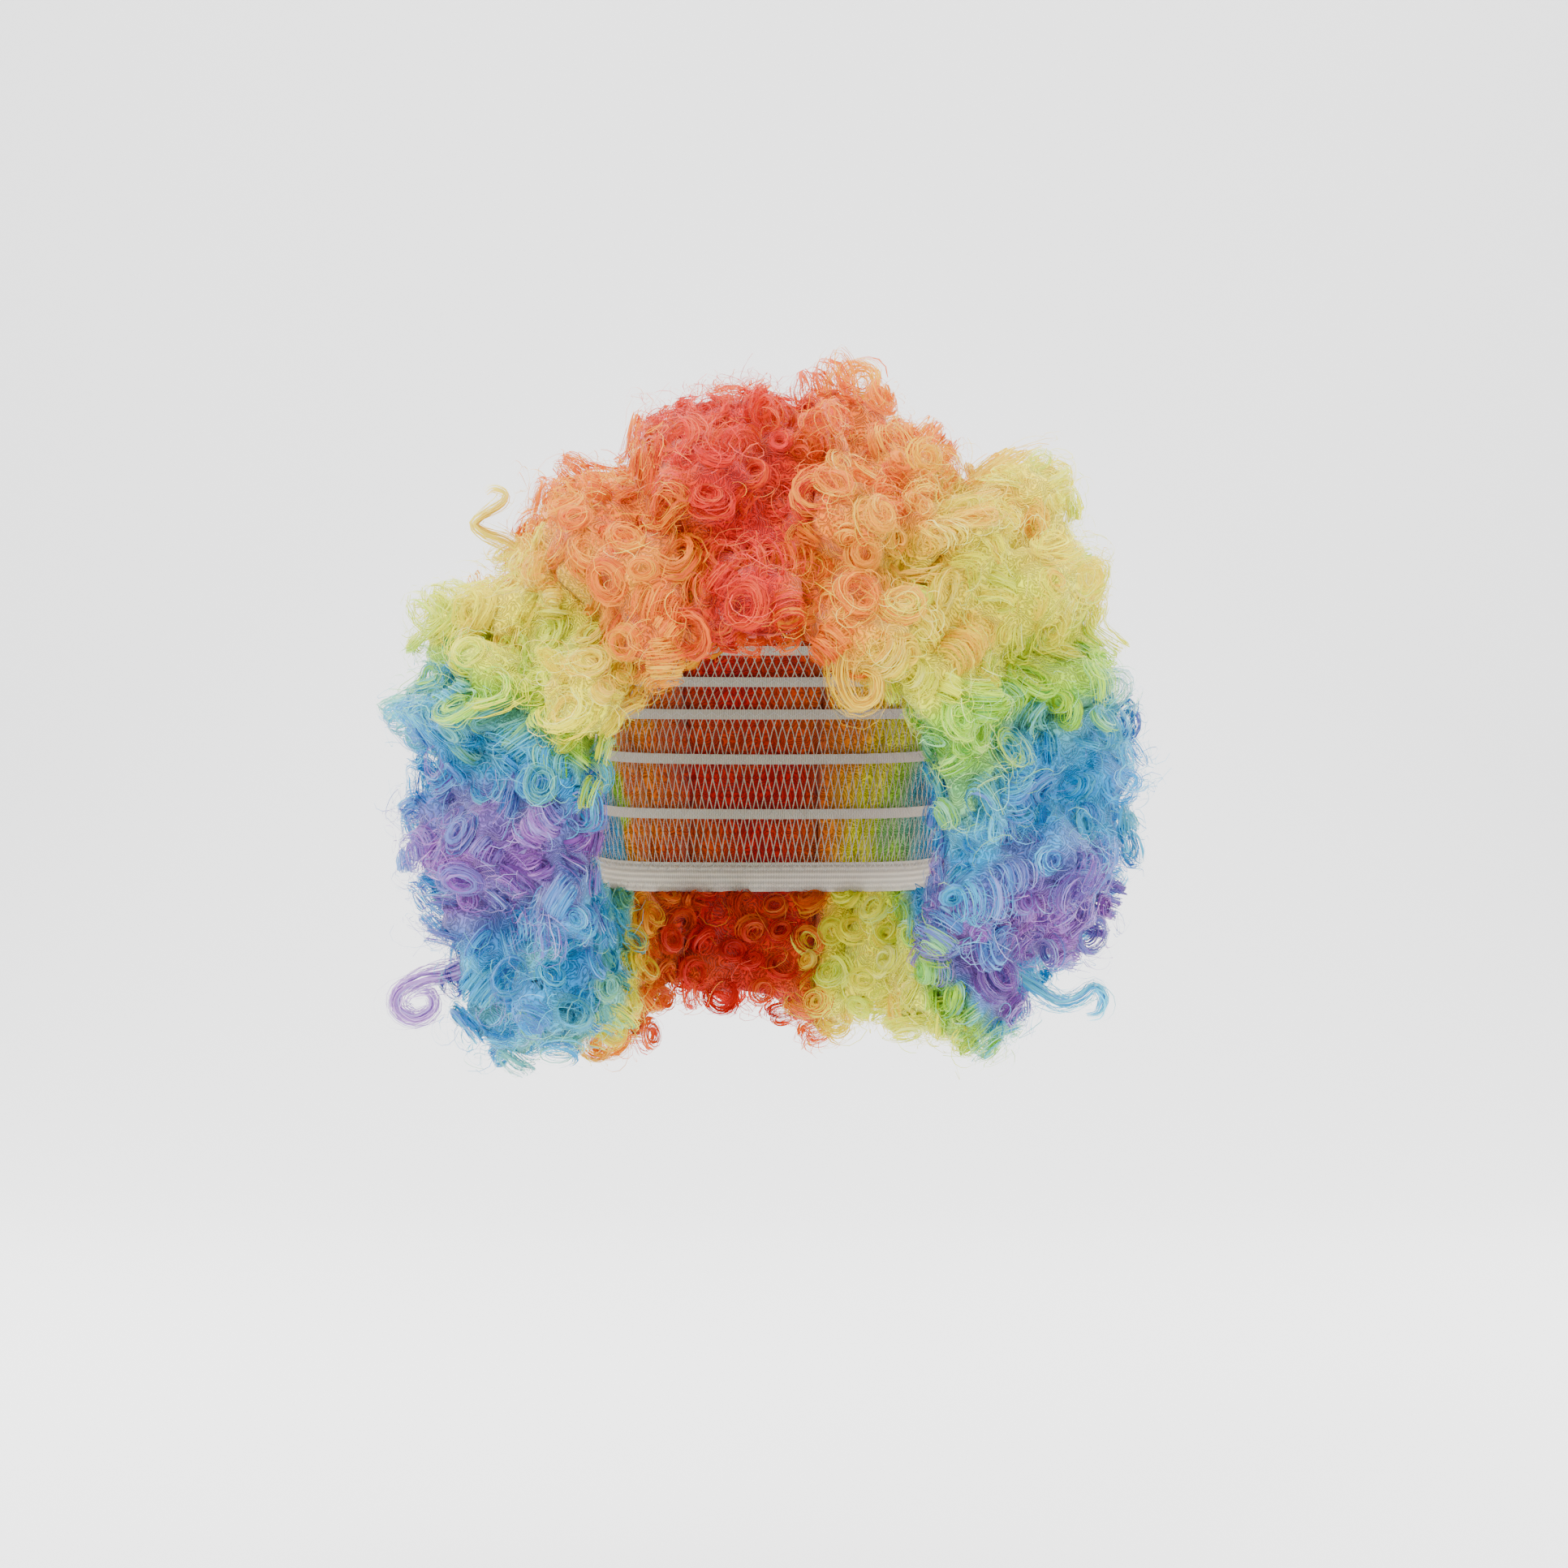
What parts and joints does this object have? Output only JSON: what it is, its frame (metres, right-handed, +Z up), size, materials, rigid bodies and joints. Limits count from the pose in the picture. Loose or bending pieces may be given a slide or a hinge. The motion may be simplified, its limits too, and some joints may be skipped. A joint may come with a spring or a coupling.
{
  "type": "curly wig",
  "caption": "Round costume wig of tight synthetic curls, in rainbow bands from a red crown to violet sides, on a stretch net cap with an elastic hem.",
  "frame": {"origin": "the inside of the cap's crown, where it sits on the top of the wearer's head", "axes": "+Z up the standing wearer, -Y the way the wearer faces, +X the wearer's left"},
  "size_m": [0.3078, 0.2893, 0.2866],
  "materials": {
    "cap_net": "open elastic net with the wefts showing through",
    "elastic_band": "ribbed woven elastic, matt",
    "hair_red": "crimped synthetic fibre, satin",
    "hair_orange": "crimped synthetic fibre, satin",
    "hair_yellow": "crimped synthetic fibre, satin",
    "hair_green": "crimped synthetic fibre, satin",
    "hair_blue": "crimped synthetic fibre, satin",
    "hair_violet": "crimped synthetic fibre, satin"
  },
  "bodies": {
    "root": {"cap": "cap_net", "hem_band": "elastic_band", "hair_red": "hair_red", "hair_orange_right": "hair_orange", "hair_orange_left": "hair_orange", "hair_yellow_right": "hair_yellow", "hair_yellow_left": "hair_yellow", "hair_green_right": "hair_green", "hair_green_left": "hair_green", "hair_blue_right": "hair_blue", "hair_blue_left": "hair_blue", "hair_violet_right": "hair_violet", "hair_violet_left": "hair_violet"}
  },
  "joints": []
}
